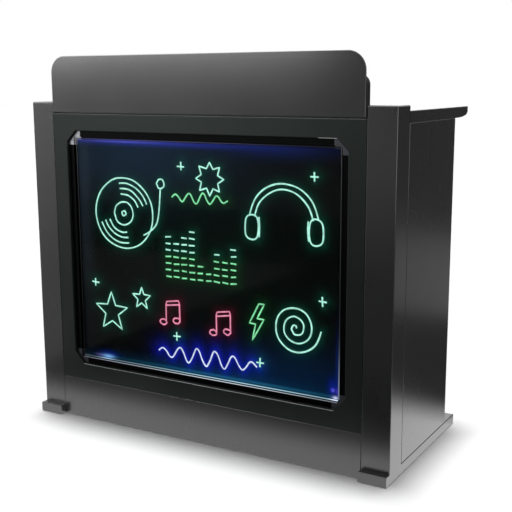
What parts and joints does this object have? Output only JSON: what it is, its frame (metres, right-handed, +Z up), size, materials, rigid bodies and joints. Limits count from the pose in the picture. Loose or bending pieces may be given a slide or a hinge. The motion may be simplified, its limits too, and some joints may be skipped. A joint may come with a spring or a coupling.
{
  "type": "dj booth",
  "caption": "Free-standing black board DJ booth with a fold-down header, worktop, shelf and an edge-lit writing board in the front panel.",
  "frame": {"origin": "on the floor, in the middle of the width and of the depth", "axes": "+Z up, +X to the right of someone facing the booth's front, +Y towards the DJ"},
  "size_m": [1.16, 0.557, 1.091],
  "materials": {
    "black_board": "satin black laminate on board",
    "black_batten": "black stained batten",
    "rubber": "moulded black rubber",
    "black_steel": "black coated pressed steel",
    "bright_steel": "zinc plated",
    "anodised_frame": "black anodised extrusion",
    "corner_casting": "satin plated zinc casting",
    "clear_sheet": "clear polished acrylic",
    "backing_plastic": "black sheet",
    "light_strip": "flexible light tape",
    "case_plastic": "moulded black plastic",
    "button_plastic": "moulded grey plastic",
    "window_plastic": "dark red clear plastic",
    "circuit": "green solder mask"
  },
  "bodies": {
    "carcass": {"backing_sheet": "backing_plastic", "board_clips": "black_steel", "board_corner_bottom_left": "corner_casting", "board_corner_bottom_right": "corner_casting", "board_corner_top_left": "corner_casting", "board_corner_top_right": "corner_casting", "board_frame_bottom": "anodised_frame", "board_frame_left": "anodised_frame", "board_frame_right": "anodised_frame", "board_frame_top": "anodised_frame", "bracket_screws": "bright_steel", "button_switches": "case_plastic", "clip_screws": "bright_steel", "controller_case": "case_plastic", "controller_circuit": "circuit", "controller_cover": "case_plastic", "corner_brackets": "black_steel", "cover_screws": "bright_steel", "dc_inlet": "case_plastic", "foot_bolts": "bright_steel", "foot_glides": "rubber", "front_panel": "black_board", "hinge_pins": "bright_steel", "hinge_worktop_leaves": "black_steel", "infrared_window": "window_plastic", "kick_panel": "black_board", "left_foot": "black_board", "left_post": "black_board", "left_shelf_cleat": "black_batten", "left_side_panel": "black_board", "left_worktop_cleat": "black_batten", "light_strip_bottom": "light_strip", "light_strip_left": "light_strip", "light_strip_right": "light_strip", "light_strip_top": "light_strip", "lower_shelf": "black_board", "right_foot": "black_board", "right_post": "black_board", "right_shelf_cleat": "black_batten", "right_side_panel": "black_board", "right_worktop_cleat": "black_batten", "worktop": "black_board", "worktop_hinge_screws": "bright_steel", "writing_sheet": "clear_sheet"},
    "header": {"header_panel": "black_board", "hinge_header_leaves": "black_steel", "header_hinge_screws": "bright_steel", "header_buffers": "rubber"},
    "mode_button": {"mode_button": "button_plastic"},
    "power_button": {"power_button": "button_plastic"},
    "speed_button": {"speed_button": "button_plastic"}
  },
  "joints": [
    {"name": "header_fold", "type": "hinge", "parent": "carcass", "child": "header", "pos_m": [0, -0.2332, 0.9483], "axis": [-1, 0, 0], "range_deg": [0, 90]},
    {"name": "mode_button_press", "type": "slide", "parent": "carcass", "child": "mode_button", "axis": [0, -1, 0], "range_m": [0, 0.0012], "stiffness_N_per_m": 900},
    {"name": "power_button_press", "type": "slide", "parent": "carcass", "child": "power_button", "axis": [0, -1, 0], "range_m": [0, 0.0012], "stiffness_N_per_m": 900},
    {"name": "speed_button_press", "type": "slide", "parent": "carcass", "child": "speed_button", "axis": [0, -1, 0], "range_m": [0, 0.0012], "stiffness_N_per_m": 900}
  ]
}
